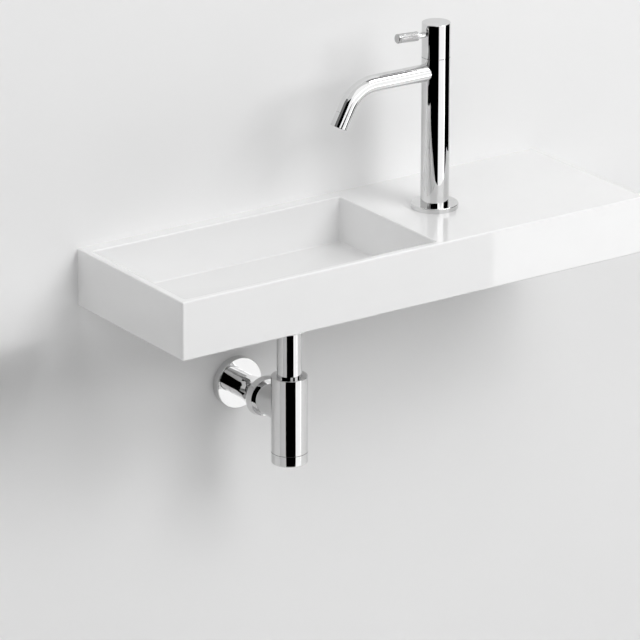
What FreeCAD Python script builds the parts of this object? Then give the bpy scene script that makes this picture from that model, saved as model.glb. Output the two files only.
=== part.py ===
"""Slim wall-hung hand basin with a pillar tap and a bottle trap.

Frame: +X runs to the right along the wall, +Y points into the wall, +Z is up. The origin lies on the wall
plane, at mid-length and mid-height of the back of the basin. Lengths are millimetres, angles are degrees.
"""
import FreeCAD
import Part
import Sketcher
import math
import os
from types import SimpleNamespace

VECTOR = FreeCAD.Vector
SHEET = "Sizes"
FULL_TURN = 360
QUARTER_TURN = 90
TOLERANCE = 0.01
THROUGH_ALL = 1
HEX_SIDES = 6
GRID_HOLES = 8
JET_RINGS = (12, 6)
DISC_PORTS = 2

# Driving dimensions, one cell each: alias, value, meaning.
DRIVING = (
    ("basin_length", 560.0, "basin along the wall"),
    ("basin_depth", 190.0, "basin out from the wall"),
    ("basin_height", 60.0, "basin from underside to deck"),
    ("edge_round", 1.8, "rounding of the outer edges"),
    ("rim_left", 8.5, "rim at the left end"),
    ("rim_front", 8.0, "rim at the front"),
    ("rim_back", 15.0, "rim at the wall"),
    ("bowl_length", 295.5, "bowl along the wall, at the rim"),
    ("floor_thick", 9.5, "floor of the bowl at the waste"),
    ("bowl_draft", 3.0, "bowl wall leans in by this much at the floor"),
    ("bowl_corner", 2.4, "upright corners of the bowl"),
    ("floor_round", 1.6, "rounding between bowl wall and floor"),
    ("floor_fall", 4.0, "fall of the floor to the waste"),
    ("rim_round", 1.6, "rounding of the inner rim"),
    ("bowl_wall", 12.0, "wall between bowl and hollow deck"),
    ("deck_thick", 13.0, "thickness of the deck"),
    ("skirt_front", 12.0, "front wall of the hollow deck"),
    ("skirt_end", 12.0, "end wall of the hollow deck"),
    ("skirt_back", 14.0, "wall-side wall of the hollow deck"),
    ("cavity_corner", 9.0, "upright corners of the hollow deck"),
    ("cavity_round", 5.0, "rounding under the deck"),
    ("bolt_inset", 36.0, "wall bolts, in from the ends of the hollow deck"),
    ("bolt_drop", 30.0, "deck to the wall bolts"),
    ("bolt_hole_dia", 12.0, "wall bolt holes"),
    ("tap_inset", 49.0, "tap axis, in from the bowl end of the hollow deck"),
    ("tap_setback", 95.0, "tap axis, out from the wall"),
    ("tap_hole_dia", 35.0, "tap hole in the deck"),
    ("waste_inset", 119.0, "waste axis, in from the deck end of the bowl"),
    ("fit_gap", 0.1, "radial gap between pieces that stay together"),
    ("run_gap", 0.05, "running fit of the spindle and the discs"),
    ("slide_gap", 0.3, "gap between pieces that move apart"),
    ("hole_gap", 1.0, "radial room of the waste tail in its hole"),
    ("waste_flange_dia", 44.0, "flange of the waste"),
    ("waste_flange_thick", 2.2, "thickness of that flange"),
    ("waste_flange_round", 0.8, "rounded edge of that flange"),
    ("waste_tail_wall", 2.0, "wall of the tail"),
    ("waste_tail_spare", 12.5, "tail below its lock nut"),
    ("waste_seal_thick", 0.8, "seal under the flange"),
    ("waste_seal_inset", 2.0, "seal stays inside the flange by this much"),
    ("grid_rim", 4.5, "rim of the flange round the strainer plate"),
    ("grid_thick", 1.0, "thickness of the strainer plate"),
    ("grid_hole_dia", 5.6, "holes of the strainer"),
    ("grid_ring", 8.4, "radius of the ring of holes"),
    ("bridge_width", 7.0, "bridge bar that takes the screw"),
    ("bridge_thick", 4.0, "thickness of the bridge bar"),
    ("waste_screw_dia", 5.0, "screw of the strainer"),
    ("waste_screw_head", 9.0, "head of that screw"),
    ("waste_screw_head_thick", 1.6, "thickness of its head"),
    ("screw_slot", 1.2, "width and depth of the screwdriver slot"),
    ("under_seal_dia", 42.0, "rubber washer below the basin"),
    ("under_seal_thick", 3.0, "thickness of that washer"),
    ("friction_washer_thick", 1.5, "slip washer"),
    ("waste_nut_flats", 38.0, "waste lock nut across flats"),
    ("waste_nut_thick", 8.0, "thickness of the waste lock nut"),
    ("coupling_dia", 36.0, "union nut on the waste tail"),
    ("coupling_engage", 9.0, "length of tail inside the union nut"),
    ("coupling_lip", 4.0, "lip of the union nut below the collar"),
    ("coupling_seal_thick", 2.0, "flat seal in the union nut"),
    ("collar_thick", 3.0, "collar of the dip tube"),
    ("collar_step", 1.3, "collar and waste tail stand out from the dip tube by this much"),
    ("tube_dia", 25.4, "dip tube"),
    ("tube_wall", 1.2, "wall of the dip tube"),
    ("tube_dip_clear", 16.0, "end of the dip tube above the foot of the trap"),
    ("trap_drop", 82.3, "underside of the basin to the top of the trap"),
    ("water_gap", 4.1, "waterway between dip tube and bottle"),
    ("bottle_height", 92.5, "bottle with its nut and cup"),
    ("bottle_wall", 1.8, "wall of the bottle"),
    ("bottle_round", 1.2, "rounded foot and shoulder of the bottle"),
    ("trap_nut_height", 10.4, "ring nut of the bottle"),
    ("trap_nut_lip", 2.4, "top of the ring nut"),
    ("trap_seal_thick", 4.0, "seal on the dip tube"),
    ("neck_wall", 1.9, "threaded neck of the bottle"),
    ("neck_step", 2.2, "neck is smaller than the bottle by this much all round"),
    ("cup_height", 11.4, "cup below its seam"),
    ("cup_floor", 2.5, "floor of the cup"),
    ("cup_skirt", 8.0, "threaded skirt of the cup inside the bottle"),
    ("cup_seal_thick", 0.5, "seal of the cup"),
    ("cup_seal_inset", 0.3, "seal of the cup stays inside the bottle by this much"),
    ("outlet_drop", 36.4, "top of the trap to the outlet axis"),
    ("branch_step", 1.5, "side branch stands out from its nose by this much"),
    ("branch_reach", 40.0, "trap axis to the face of the outlet nut"),
    ("nose_wall", 1.9, "threaded nose of the branch round the wall pipe"),
    ("nose_length", 14.0, "length of that nose"),
    ("socket_depth", 11.0, "wall pipe inside the nose"),
    ("socket_shelf", 2.0, "shelf that the wall pipe stops at"),
    ("outlet_seal_thick", 4.0, "seal on the wall pipe"),
    ("bell_wall", 4.4, "outlet nut stands out from the nose by this much"),
    ("bell_ring", 1.0, "straight part of the outlet nut"),
    ("bell_shoulder", 6.0, "straight part to the widest rim of the outlet nut"),
    ("bell_swell", 1.6, "that rim stands out from the straight part by this much"),
    ("bell_length", 33.0, "outlet nut"),
    ("bell_hollow", 1.3, "flank of the outlet nut dips below a straight cone by this much"),
    ("bell_lip", 0.4, "wall of the narrow end of the outlet nut"),
    ("pipe_dia", 26.0, "wall pipe"),
    ("pipe_wall", 1.2, "wall of the wall pipe"),
    ("pipe_into_wall", 40.0, "wall pipe behind the wall plane"),
    ("pipe_end_step", 0.5, "sized end of the wall pipe is smaller by this much all round"),
    ("pipe_end_start", 2.0, "wall plane to the sized end"),
    ("wall_flange_dia", 53.5, "cover plate on the wall"),
    ("wall_flange_thick", 9.0, "depth of the cover plate"),
    ("wall_flange_sheet", 1.5, "sheet of the cover plate"),
    ("foot_dia", 48.0, "foot plate of the tap"),
    ("foot_thick", 5.0, "thickness of the foot plate"),
    ("foot_round", 0.8, "rounded edge of the foot plate"),
    ("foot_seal_inset", 2.0, "seal stays inside the foot plate by this much"),
    ("foot_seal_width", 3.0, "width of that seal"),
    ("foot_seal_thick", 2.0, "thickness of that seal"),
    ("column_dia", 29.0, "column of the tap"),
    ("column_over", 14.9, "spout axis to the top of the column"),
    ("column_seam", 0.4, "seam between column and turning head"),
    ("column_bore", 10.0, "waterway of the column"),
    ("column_wall", 3.3, "wall of the column round the valve"),
    ("valve_seat_drop", 17.5, "spout axis to the valve seat"),
    ("tail_dia", 20.95, "threaded tail of the tap"),
    ("tail_bore", 12.0, "waterway of the tail"),
    ("tail_socket", 14.0, "length of tail inside the column"),
    ("tail_relief", 2.0, "relief groove below the lock nut"),
    ("tail_relief_depth", 0.8, "depth of that groove"),
    ("tail_connector", 20.0, "connector thread below the groove"),
    ("top_hat_dia", 44.0, "centring washer"),
    ("top_hat_thick", 3.0, "thickness of its brim"),
    ("top_hat_rise", 7.0, "height of its crown inside the tap hole"),
    ("clamp_washer_dia", 40.0, "steel washer"),
    ("clamp_washer_thick", 2.0, "thickness of the steel washer"),
    ("tap_nut_flats", 30.0, "tap lock nut across flats"),
    ("tap_nut_thick", 9.0, "thickness of the tap lock nut"),
    ("spout_dia", 17.6, "spout tube"),
    ("spout_wall", 2.8, "wall of the spout"),
    ("spout_height", 143.5, "deck to the spout axis"),
    ("spout_straight", 76.0, "tap axis to the start of the bend"),
    ("spout_bend", 36.0, "radius of the bend"),
    ("spout_angle", 62.0, "bend of the spout"),
    ("spout_drop", 7.5, "straight stretch after the bend"),
    ("spigot_wall", 1.0, "wall of the root of the spout, inside the column wall"),
    ("aerator_length", 15.0, "sleeve at the tip"),
    ("aerator_nose_wall", 1.5, "wall of the threaded nose of the spout"),
    ("aerator_nose_length", 7.0, "length of that nose"),
    ("aerator_lip", 1.5, "lip of the sleeve"),
    ("aerator_lip_reach", 1.0, "lip reaches in past the nose by this much"),
    ("aerator_seal_thick", 1.2, "seal above the insert"),
    ("aerator_jet_dia", 1.8, "jets of the insert"),
    ("aerator_jet_ring", 4.4, "radius of the outer ring of jets"),
    ("head_sleeve_dia", 17.0, "sleeve of the valve"),
    ("head_sleeve_wall", 1.4, "wall of that sleeve"),
    ("head_seal_thick", 2.0, "seal under the valve"),
    ("head_thread", 9.5, "threaded part of the valve"),
    ("head_hex_gap", 1.9, "corner of the valve's hexagon to the turning head"),
    ("head_hex_thick", 6.5, "thickness of that hexagon"),
    ("window_width", 8.0, "side windows of the valve"),
    ("window_height", 6.0, "height of those windows"),
    ("disc_thick", 3.0, "ceramic discs"),
    ("disc_port", 3.4, "ports of the discs"),
    ("port_ring", 3.6, "ports to the valve axis"),
    ("tongue_width", 3.2, "driving tongue of the spindle"),
    ("tongue_depth", 1.4, "depth of that tongue"),
    ("spindle_dia", 8.0, "spindle"),
    ("spindle_collar_gap", 0.8, "collar of the spindle to the sleeve of the valve"),
    ("spindle_collar_thick", 2.0, "thickness of that collar"),
    ("spindle_over", 4.2, "spindle above the lever axis"),
    ("cap_wall", 2.2, "wall of the turning head"),
    ("cap_hollow", 11.6, "hollow of the turning head"),
    ("cap_round", 0.7, "rounded top edge of the turning head"),
    ("lever_rise", 23.3, "foot of the turning head to the lever axis"),
    ("cap_over", 11.9, "lever axis to the top of the tap"),
    ("lever_tilt", 2.8, "rise of the lever"),
    ("lever_stud_dia", 5.6, "pin of the lever"),
    ("lever_neck", 8.6, "pin showing between head and grip"),
    ("lever_pin_dia", 4.6, "pin inside the grip"),
    ("lever_pin_length", 12.0, "length of pin inside the grip"),
    ("grip_dia", 9.5, "grip"),
    ("grip_length", 24.9, "length of the grip"),
    ("grip_chamfer", 0.6, "chamfered ends of the grip"),
)


class Size:
    """A length as a number, with the sheet formula that drives it."""

    def __init__(self, number, formula):
        self.number = number
        self.formula = formula

    def __add__(self, other):
        return Size(self.number + number_of(other), f"({self.formula} + {formula_of(other)})")

    def __sub__(self, other):
        return Size(self.number - number_of(other), f"({self.formula} - {formula_of(other)})")

    def __mul__(self, other):
        return Size(self.number * number_of(other), f"({self.formula} * {formula_of(other)})")

    def __truediv__(self, other):
        return Size(self.number / number_of(other), f"({self.formula} / {formula_of(other)})")

    def __neg__(self):
        return Size(-self.number, f"(-1 * {self.formula})")


def number_of(value):
    """The plain number of a Size or a number."""
    return value.number if isinstance(value, Size) else value


def formula_of(value):
    """The sheet formula of a Size or a number."""
    return value.formula if isinstance(value, Size) else repr(value)


def sine(angle):
    """Sine of an angle in degrees."""
    return Size(math.sin(math.radians(angle.number)), f"sin({angle.formula})")


def cosine(angle):
    """Cosine of an angle in degrees."""
    return Size(math.cos(math.radians(angle.number)), f"cos({angle.formula})")


def fill_sheet(doc):
    """Write the driving dimensions to the sheet and hand them back by name."""
    sheet = doc.addObject("Spreadsheet::Sheet", SHEET)
    sizes = {}
    for row, (alias, value, meaning) in enumerate(DRIVING, start=1):
        sheet.set(f"A{row}", meaning)
        sheet.set(f"B{row}", str(value))
        sheet.setAlias(f"B{row}", alias)
        sizes[alias] = Size(value, f"{SHEET}.{alias}")
    doc.recompute()
    return SimpleNamespace(**sizes)


DOC = FreeCAD.newDocument("HandBasin")
DIM = fill_sheet(DOC)
PIECES = []


def bind(thing, path, value):
    """Drive one property by its formula."""
    if isinstance(value, Size):
        thing.setExpression(path, value.formula)


def new_body(label, base=(0, 0, 0), axis=VECTOR(0, 0, 1), angle=0):
    """An empty piece, placed at base and turned by angle about axis."""
    body = DOC.addObject("PartDesign::Body", label)
    body.Label = label
    turn = FreeCAD.Rotation(axis, number_of(angle))
    body.Placement = FreeCAD.Placement(VECTOR(*[number_of(part) for part in base]), turn)
    for name, part in zip("xyz", base):
        bind(body, f"Placement.Base.{name}", part)
    bind(body, "Placement.Rotation.Angle", angle)
    PIECES.append(body)
    return body


def new_sketch(body, plane, lift=0):
    """A sketch on one of the body's own planes, raised along its normal."""
    sketch = body.newObject("Sketcher::SketchObject", f"{body.Label}_sketch")
    support = [feature for feature in body.Origin.OriginFeatures if feature.Role == plane][0]
    sketch.AttachmentSupport = (support, [""])
    sketch.MapMode = "FlatFace"
    sketch.AttachmentOffset = FreeCAD.Placement(VECTOR(0, 0, number_of(lift)), FreeCAD.Rotation())
    bind(sketch, "AttachmentOffset.Base.z", lift)
    return sketch


def pin_point(sketch, geometry, point, place):
    """Hold a point of the sketch at driven distances from its origin."""
    for kind, value in zip(("DistanceX", "DistanceY"), place):
        rule = Sketcher.Constraint(kind, -1, 1, geometry, point, number_of(value))
        bind(sketch, f"Constraints[{sketch.addConstraint(rule)}]", value)


def flat_point(place):
    """A driven point as a plain vector."""
    return VECTOR(number_of(place[0]), number_of(place[1]), 0)


def draw_outline(sketch, points, arcs=None):
    """A closed outline through driven points.

    arcs maps the number of a stretch to its radius: a positive radius puts the centre to the left of the
    stretch as it is walked, a negative one to the right.
    """
    arcs = arcs or {}
    count = len(points)
    first = sketch.GeometryCount
    for step in range(count):
        start, end = flat_point(points[step]), flat_point(points[(step + 1) % count])
        if step in arcs:
            sketch.addGeometry(arc_between(start, end, number_of(arcs[step])), False)
        else:
            sketch.addGeometry(Part.LineSegment(start, end), False)
    # An arc runs anticlockwise, so a stretch with its centre on the right starts at the arc's second end.
    heads = [2 if step in arcs and number_of(arcs[step]) < 0 else 1 for step in range(count)]
    for step in range(count):
        after = (step + 1) % count
        tail = 3 - heads[step]
        rule = Sketcher.Constraint("Coincident", first + step, tail, first + after, heads[after])
        sketch.addConstraint(rule)
    for step in range(count):
        pin_point(sketch, first + step, heads[step], points[step])
    for step, radius in arcs.items():
        length = radius if number_of(radius) > 0 else -radius
        rule = Sketcher.Constraint("Radius", first + step, length.number)
        bind(sketch, f"Constraints[{sketch.addConstraint(rule)}]", length)


def arc_between(start, end, radius):
    """The short arc from start to end, centre to the left for a positive radius."""
    middle = (start + end) / 2
    chord = end - start
    reach = math.sqrt(max(radius * radius - chord.Length ** 2 / 4, 0))
    left = VECTOR(-chord.y, chord.x, 0).normalize()
    centre = middle + left * math.copysign(reach, radius)
    circle = Part.Circle(centre, VECTOR(0, 0, 1), abs(radius))
    angles = [math.atan2(point.y - centre.y, point.x - centre.x) for point in (start, end)]
    if radius < 0:
        angles.reverse()
    return Part.ArcOfCircle(circle, angles[0], angles[1])


def draw_circle(sketch, place, diameter):
    """A driven circle."""
    circle = Part.Circle(flat_point(place), VECTOR(0, 0, 1), number_of(diameter) / 2)
    number = sketch.addGeometry(circle, False)
    rule = Sketcher.Constraint("Diameter", number, number_of(diameter))
    bind(sketch, f"Constraints[{sketch.addConstraint(rule)}]", diameter)
    pin_point(sketch, number, 3, place)


def draw_rectangle(sketch, left, low, right, high):
    """A driven rectangle."""
    draw_outline(sketch, [(left, low), (right, low), (right, high), (left, high)])


def draw_rounded(sketch, left, low, right, high, radius):
    """A driven rectangle with quarter-round corners, walked anticlockwise."""
    points = [
        (left + radius, low), (right - radius, low), (right, low + radius), (right, high - radius),
        (right - radius, high), (left + radius, high), (left, high - radius), (left, low + radius),
    ]
    draw_outline(sketch, points, {corner: radius for corner in (1, 3, 5, 7)})


def draw_hexagon(sketch, flats):
    """A driven hexagon across its flats."""
    corner = flats / math.sqrt(3)
    points = []
    for side in range(HEX_SIDES):
        turn = math.radians(side * FULL_TURN / HEX_SIDES)
        points.append((corner * math.cos(turn), corner * math.sin(turn)))
    draw_outline(sketch, points)


def feature(body, kind, **settings):
    """Add a feature and drive its settings."""
    made = body.newObject(f"PartDesign::{kind}", f"{body.Label}_{kind}")
    for name, value in settings.items():
        setattr(made, name, number_of(value))
        bind(made, name, value)
    return made


def extrude(body, sketch, length, kind="Pad", away=False):
    """Pad or pocket a sketch by a driven length."""
    return feature(body, kind, Profile=sketch, Length=length, Reversed=away)


def pierce(body, sketch, away=False):
    """Pocket a sketch through the whole piece."""
    return feature(body, "Pocket", Profile=sketch, Type=THROUGH_ALL, Reversed=away)


def spin(body, sketch, kind="Revolution", axis="V_Axis"):
    """Turn a profile about an axis of its sketch."""
    return feature(body, kind, Profile=sketch, ReferenceAxis=(sketch, [axis]), Angle=FULL_TURN)


def turned(label, profile, base, axis=VECTOR(0, 0, 1), angle=0, arcs=None):
    """A piece turned from a profile of (radius, height) points."""
    body = new_body(label, base, axis, angle)
    sketch = new_sketch(body, "XZ_Plane")
    draw_outline(sketch, profile, arcs)
    spin(body, sketch)
    return body


def ring(label, inner, outer, low, high, base, axis=VECTOR(0, 0, 1), angle=0):
    """A plain ring of square section."""
    profile = [(inner, low), (outer, low), (outer, high), (inner, high)]
    return turned(label, profile, base, axis, angle)


def repeat_round(body, original, count):
    """Repeat a feature round the body's upright axis."""
    pattern = body.newObject("PartDesign::PolarPattern", f"{body.Label}_pattern")
    pattern.Originals = [original]
    upright = [part for part in body.Origin.OriginFeatures if part.Role == "Z_Axis"][0]
    pattern.Axis = (upright, [""])
    pattern.Angle = FULL_TURN
    pattern.Occurrences = count
    body.Tip = pattern


def round_edges(body, radius, wanted, kind="Fillet"):
    """Round or chamfer the edges of the body's tip that the test wants."""
    DOC.recompute()
    tip = body.Tip
    names = [f"Edge{number}" for number, edge in enumerate(tip.Shape.Edges, start=1) if wanted(edge)]
    finish = body.newObject(f"PartDesign::{kind}", f"{body.Label}_{kind}")
    finish.Base = (tip, names)
    name = "Radius" if kind == "Fillet" else "Size"
    setattr(finish, name, number_of(radius))
    bind(finish, name, radius)


def near(value, target):
    """True where two lengths are the same."""
    return abs(value - number_of(target)) < TOLERANCE


def rim_edge(radius, height):
    """A test for the circular edge of this radius at this height on the piece's own axis."""
    def wanted(edge):
        curve = edge.Curve
        is_ring = hasattr(curve, "Radius") and hasattr(curve, "Center")
        return is_ring and near(curve.Radius, radius) and near(curve.Center.z, height)
    return wanted


DECK_Z = DIM.basin_height / 2
UNDER_Z = -DECK_Z
SUMP_Z = UNDER_Z + DIM.floor_thick
BOWL_EDGE_Z = SUMP_Z + DIM.floor_fall
BOWL_LEFT = DIM.rim_left - DIM.basin_length / 2
BOWL_RIGHT = BOWL_LEFT + DIM.bowl_length
HOLLOW_LEFT = BOWL_RIGHT + DIM.bowl_wall
HOLLOW_RIGHT = DIM.basin_length / 2 - DIM.skirt_end
TAP_X = HOLLOW_LEFT + DIM.tap_inset
TAP_Y = -DIM.tap_setback
WASTE_X = BOWL_RIGHT - DIM.waste_inset
WASTE_SETBACK = (DIM.rim_back + DIM.basin_depth - DIM.rim_front) / 2
WASTE_Y = -WASTE_SETBACK
TUBE_R = DIM.tube_dia / 2
WASTE_TAIL_R = TUBE_R + DIM.collar_step


def bowl_section(body, height, inset):
    """Outline of the bowl at one height, drawn in from the rim by inset."""
    sketch = new_sketch(body, "XY_Plane", height)
    front = DIM.rim_front - DIM.basin_depth
    back = -DIM.rim_back
    draw_rounded(sketch, BOWL_LEFT + inset, front + inset, BOWL_RIGHT - inset, back - inset, DIM.bowl_corner)
    return sketch


def sump_section(body):
    """Outline of the flat seat round the waste."""
    sketch = new_sketch(body, "XY_Plane", SUMP_Z)
    reach = DIM.waste_flange_dia / 2 + DIM.hole_gap
    corner = reach - DIM.hole_gap
    draw_rounded(sketch, WASTE_X - reach, WASTE_Y - reach, WASTE_X + reach, WASTE_Y + reach, corner)
    return sketch


def outer_edge(edge):
    """The edges of the plain block, apart from those that meet the wall."""
    box = edge.BoundBox
    return box.YMin < -TOLERANCE


def bowl_rim(edge):
    """The inner rim of the bowl, level with the deck."""
    box = edge.BoundBox
    inside = box.XMin > BOWL_LEFT.number - TOLERANCE and box.XMax < BOWL_RIGHT.number + TOLERANCE
    return inside and near(box.ZMin, DECK_Z) and near(box.ZMax, DECK_Z)


def floor_edge(edge):
    """The edges between bowl wall and floor."""
    box = edge.BoundBox
    return near(box.ZMin, BOWL_EDGE_Z) and near(box.ZMax, BOWL_EDGE_Z)


def cavity_edge(edge):
    """The edges under the deck, between its underside and the walls of the hollow."""
    box = edge.BoundBox
    level = DECK_Z - DIM.deck_thick
    return near(box.ZMin, level) and near(box.ZMax, level)


def make_basin():
    """Glazed casting: bowl on the left, hollow tap deck on the right."""
    body = new_body("basin_body")
    half = DIM.basin_length / 2
    block = new_sketch(body, "XY_Plane", UNDER_Z)
    draw_rectangle(block, -half, -DIM.basin_depth, half, 0)
    extrude(body, block, DIM.basin_height)
    round_edges(body, DIM.edge_round, outer_edge)

    bowl = body.newObject("PartDesign::SubtractiveLoft", "bowl")
    bowl.Profile = bowl_section(body, DECK_Z, 0)
    bowl.Sections = [bowl_section(body, BOWL_EDGE_Z, DIM.bowl_draft), sump_section(body)]
    bowl.Ruled = True

    hollow = new_sketch(body, "XY_Plane", UNDER_Z)
    front = DIM.skirt_front - DIM.basin_depth
    draw_rounded(hollow, HOLLOW_LEFT, front, HOLLOW_RIGHT, -DIM.skirt_back, DIM.cavity_corner)
    extrude(body, hollow, DIM.basin_height - DIM.deck_thick, "Pocket", away=True)
    round_edges(body, DIM.cavity_round, cavity_edge)
    round_edges(body, DIM.floor_round, floor_edge)
    round_edges(body, DIM.rim_round, bowl_rim)

    holes = new_sketch(body, "XY_Plane", DECK_Z)
    draw_circle(holes, (TAP_X, TAP_Y), DIM.tap_hole_dia)
    draw_circle(holes, (WASTE_X, WASTE_Y), (WASTE_TAIL_R + DIM.hole_gap) * 2)
    pierce(body, holes)
    bolts = new_sketch(body, "XZ_Plane")
    for across in (HOLLOW_LEFT + DIM.bolt_inset, HOLLOW_RIGHT - DIM.bolt_inset):
        draw_circle(bolts, (across, DECK_Z - DIM.bolt_drop), DIM.bolt_hole_dia)
    extrude(body, bolts, DIM.skirt_back + DIM.cavity_round, "Pocket", away=True)


def make_waste():
    """Turned waste with its strainer, seals and back nut."""
    base = (WASTE_X, WASTE_Y, SUMP_Z)
    tail = WASTE_TAIL_R
    bore = tail - DIM.waste_tail_wall
    flange = DIM.waste_flange_dia / 2
    strainer = flange - DIM.grid_rim
    recess = strainer + DIM.fit_gap
    top = DIM.waste_seal_thick + DIM.waste_flange_thick
    shelf = top - DIM.grid_thick
    stack = DIM.floor_thick + DIM.under_seal_thick + DIM.friction_washer_thick + DIM.waste_nut_thick
    end = -(stack + DIM.waste_tail_spare)

    body = turned("waste_body", [
        (bore, end), (tail, end), (tail, DIM.waste_seal_thick), (flange, DIM.waste_seal_thick), (flange, top),
        (recess, top), (recess, shelf), (bore, shelf),
    ], base)
    bridge = new_sketch(body, "XY_Plane", shelf)
    reach = bore + DIM.waste_tail_wall / 2
    draw_rectangle(bridge, -reach, -DIM.bridge_width / 2, reach, DIM.bridge_width / 2)
    extrude(body, bridge, DIM.bridge_thick, away=True)
    tapped = new_sketch(body, "XY_Plane", shelf)
    draw_circle(tapped, (0, 0), DIM.waste_screw_dia + DIM.fit_gap * 2)
    pierce(body, tapped)
    round_edges(body, DIM.waste_flange_round, rim_edge(flange, top))

    grid = turned("waste_grid", [
        (DIM.waste_screw_dia / 2 + DIM.fit_gap, shelf), (strainer, shelf), (strainer, top),
        (DIM.waste_screw_dia / 2 + DIM.fit_gap, top),
    ], base)
    hole = new_sketch(grid, "XY_Plane", top)
    draw_circle(hole, (DIM.grid_ring, 0), DIM.grid_hole_dia)
    repeat_round(grid, pierce(grid, hole), GRID_HOLES)

    screw_end = shelf - DIM.bridge_thick
    head_top = top + DIM.waste_screw_head_thick
    screw = turned("waste_screw", [
        (0, screw_end), (DIM.waste_screw_dia / 2, screw_end), (DIM.waste_screw_dia / 2, top),
        (DIM.waste_screw_head / 2, top), (DIM.waste_screw_head / 2, head_top), (0, head_top),
    ], base)
    slot = new_sketch(screw, "XY_Plane", head_top)
    draw_rectangle(slot, -DIM.waste_screw_head, -DIM.screw_slot / 2, DIM.waste_screw_head, DIM.screw_slot / 2)
    extrude(screw, slot, DIM.screw_slot, "Pocket")

    clear = tail + DIM.fit_gap
    ring("waste_top_seal", clear, flange - DIM.waste_seal_inset, 0, DIM.waste_seal_thick, base)
    seal_low = -(DIM.floor_thick + DIM.under_seal_thick)
    ring("waste_under_seal", clear, DIM.under_seal_dia / 2, seal_low, -DIM.floor_thick, base)
    slip_low = seal_low - DIM.friction_washer_thick
    ring("waste_friction_washer", clear, DIM.under_seal_dia / 2, slip_low, seal_low, base)
    back_nut("waste_lock_nut", DIM.waste_nut_flats, clear, slip_low, DIM.waste_nut_thick, base)
    make_coupling(base, end)


def back_nut(label, flats, bore, top, thick, base):
    """Hexagon nut hanging below a washer, with chamfered corners on its free face."""
    body = new_body(label, base)
    sketch = new_sketch(body, "XY_Plane", top)
    draw_hexagon(sketch, flats)
    draw_circle(sketch, (0, 0), bore * 2)
    extrude(body, sketch, thick, away=True)
    corner = flats / math.sqrt(3)
    trim = new_sketch(body, "XZ_Plane")
    low = top - thick
    over = corner - flats / 2
    draw_outline(trim, [(flats / 2, low), (corner + over, low), (corner + over, low + over)])
    spin(body, trim, "Groove")


def make_coupling(base, end):
    """Union nut and dip tube that hang on the waste tail, whose end is at this height."""
    tail = WASTE_TAIL_R
    tube = TUBE_R
    bore = tube - DIM.tube_wall
    seal_low = end - DIM.coupling_seal_thick
    collar_low = seal_low - DIM.collar_thick
    ring("coupling_seal", tail - DIM.waste_tail_wall, tail, seal_low, end, base)
    foot = UNDER_Z - DIM.trap_drop - DIM.bottle_height + DIM.tube_dip_clear - SUMP_Z
    turned("inlet_tube", [
        (bore, foot), (tube, foot), (tube, collar_low), (tail, collar_low), (tail, seal_low),
        (bore, seal_low),
    ], base)
    lip_low = collar_low - DIM.coupling_lip
    top = end + DIM.coupling_engage
    outer = DIM.coupling_dia / 2
    nut = turned("coupling_nut", [
        (tube + DIM.fit_gap, lip_low), (outer, lip_low), (outer, top), (tail + DIM.fit_gap, top),
        (tail + DIM.fit_gap, collar_low), (tube + DIM.fit_gap, collar_low),
    ], base)
    ends = (rim_edge(outer, top), rim_edge(outer, lip_low))
    round_edges(nut, DIM.bottle_round, lambda edge: any(end(edge) for end in ends))


TRAP_TOP = UNDER_Z - DIM.trap_drop
TRAP_FOOT = TRAP_TOP - DIM.bottle_height
BOTTLE_R = TUBE_R + DIM.water_gap + DIM.bottle_wall
PIPE_R = DIM.pipe_dia / 2
NOSE_R = PIPE_R + DIM.fit_gap + DIM.nose_wall


def make_trap():
    """Bottle of the trap with its ring nut, seal and screw-off cup."""
    base = (WASTE_X, WASTE_Y, TRAP_TOP)
    tube = TUBE_R + DIM.fit_gap
    neck = BOTTLE_R - DIM.neck_step
    nut_low = -DIM.trap_nut_height
    seal_low = -(DIM.trap_nut_lip + DIM.trap_seal_thick)
    nut = turned("trap_top_nut", [
        (neck + DIM.fit_gap, nut_low), (BOTTLE_R, nut_low), (BOTTLE_R, 0), (tube, 0),
        (tube, -DIM.trap_nut_lip), (neck + DIM.fit_gap, -DIM.trap_nut_lip),
    ], base)
    round_edges(nut, DIM.bottle_round / 2, rim_edge(BOTTLE_R, 0))
    ring("trap_top_seal", tube, neck, seal_low, -DIM.trap_nut_lip, base)
    make_bottle(base, neck, nut_low, seal_low)
    make_cup()


def make_bottle(base, neck, nut_low, neck_top):
    """Bottle with a threaded neck above and a side branch towards the wall."""
    low = DIM.cup_height + DIM.cup_seal_thick - DIM.bottle_height
    inner = BOTTLE_R - DIM.bottle_wall
    throat = neck - DIM.neck_wall
    shoulder = nut_low - DIM.neck_wall
    body = turned("trap_body", [
        (0, low), (BOTTLE_R, low), (BOTTLE_R, nut_low), (neck, nut_low), (neck, neck_top), (0, neck_top),
    ], base)
    nose_end = DIM.branch_reach + DIM.nose_length
    for radius, reach in ((NOSE_R + DIM.branch_step, DIM.branch_reach), (NOSE_R, nose_end)):
        outer = new_sketch(body, "XZ_Plane")
        draw_circle(outer, (0, -DIM.outlet_drop), radius * 2)
        extrude(body, outer, reach, away=True)
    hollow = new_sketch(body, "XZ_Plane")
    draw_outline(hollow, [
        (0, low), (inner, low), (inner, shoulder), (throat, shoulder), (throat, neck_top), (0, neck_top),
    ])
    spin(body, hollow, "Groove")
    waterway = new_sketch(body, "XZ_Plane")
    draw_circle(waterway, (0, -DIM.outlet_drop), (PIPE_R - DIM.socket_shelf) * 2)
    pierce(body, waterway)
    socket = new_sketch(body, "XZ_Plane", -nose_end)
    draw_circle(socket, (0, -DIM.outlet_drop), (PIPE_R + DIM.fit_gap) * 2)
    extrude(body, socket, DIM.socket_depth, "Pocket", away=True)


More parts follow.
